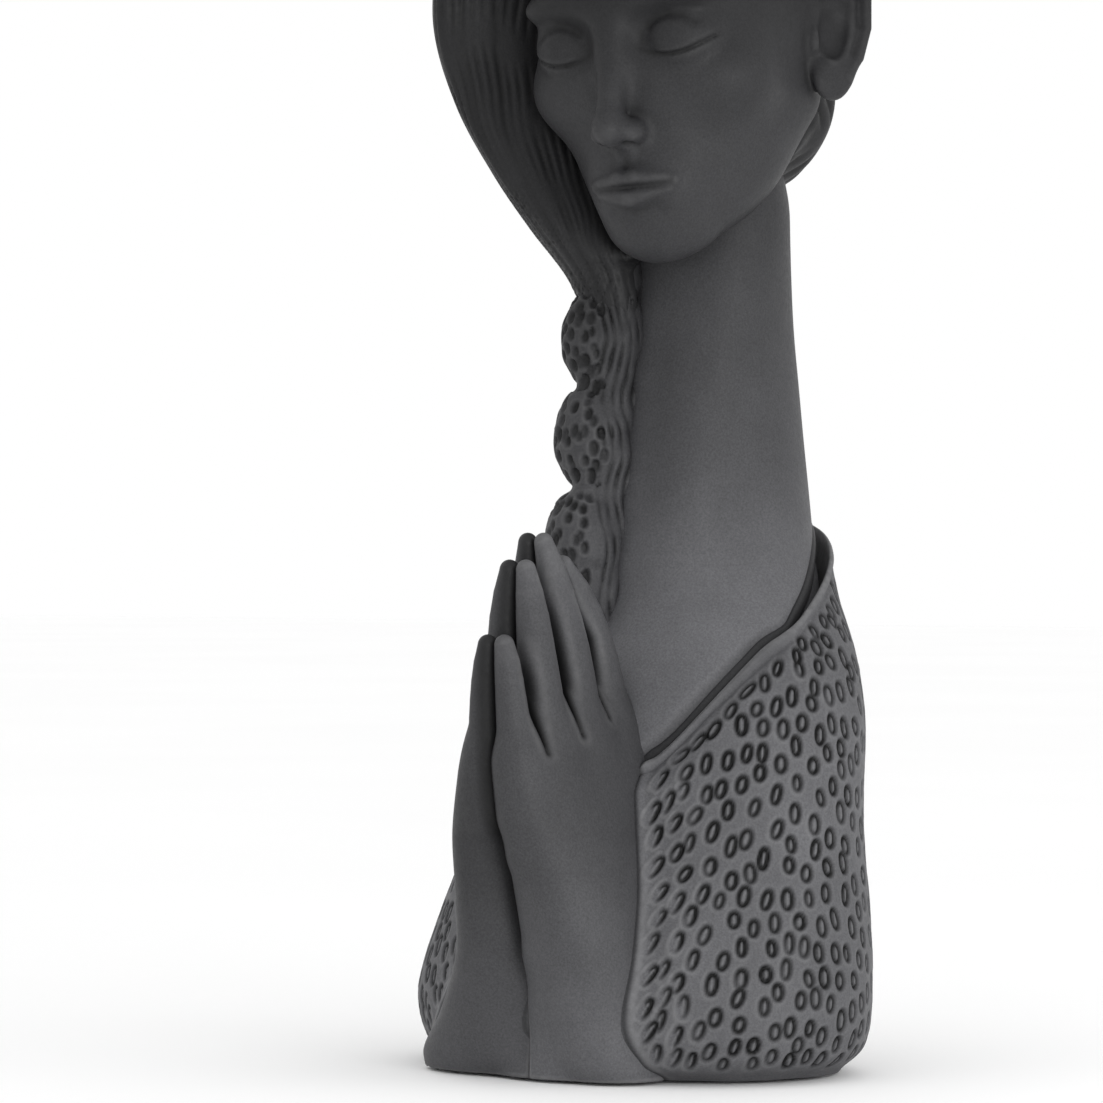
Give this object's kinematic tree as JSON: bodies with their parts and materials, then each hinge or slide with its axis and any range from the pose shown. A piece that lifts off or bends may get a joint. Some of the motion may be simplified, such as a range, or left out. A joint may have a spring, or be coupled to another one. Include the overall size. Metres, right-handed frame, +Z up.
{
  "type": "figurine bust",
  "caption": "Dark cast-marble bust of a praying woman with a dimpled robe, side braid and felt base, for a shelf or table",
  "frame": {"origin": "middle of the felt underside, on the surface that the bust stands on", "axes": "+Z up along the neck, -Y the way the torso faces, +X the figure's left"},
  "size_m": [0.1252, 0.1261, 0.3248],
  "materials": {
    "skin_stone": "matte",
    "robe_stone": "matte",
    "band_stone": "matte",
    "hair_stone": "matte",
    "steel": "satin",
    "felt": "matte"
  },
  "bodies": {
    "root": {"robe_body": "robe_stone", "neckline_band": "band_stone", "neck_and_chest": "skin_stone", "head": "skin_stone", "hair": "hair_stone", "braid": "hair_stone", "left_hand": "skin_stone", "right_hand": "skin_stone", "armature_rod": "steel", "rod_washer": "steel", "rod_nut": "steel", "left_hand_pins": "steel", "right_hand_pins": "steel", "braid_pins": "steel", "hair_pins": "steel", "base_felt": "felt"}
  },
  "joints": []
}
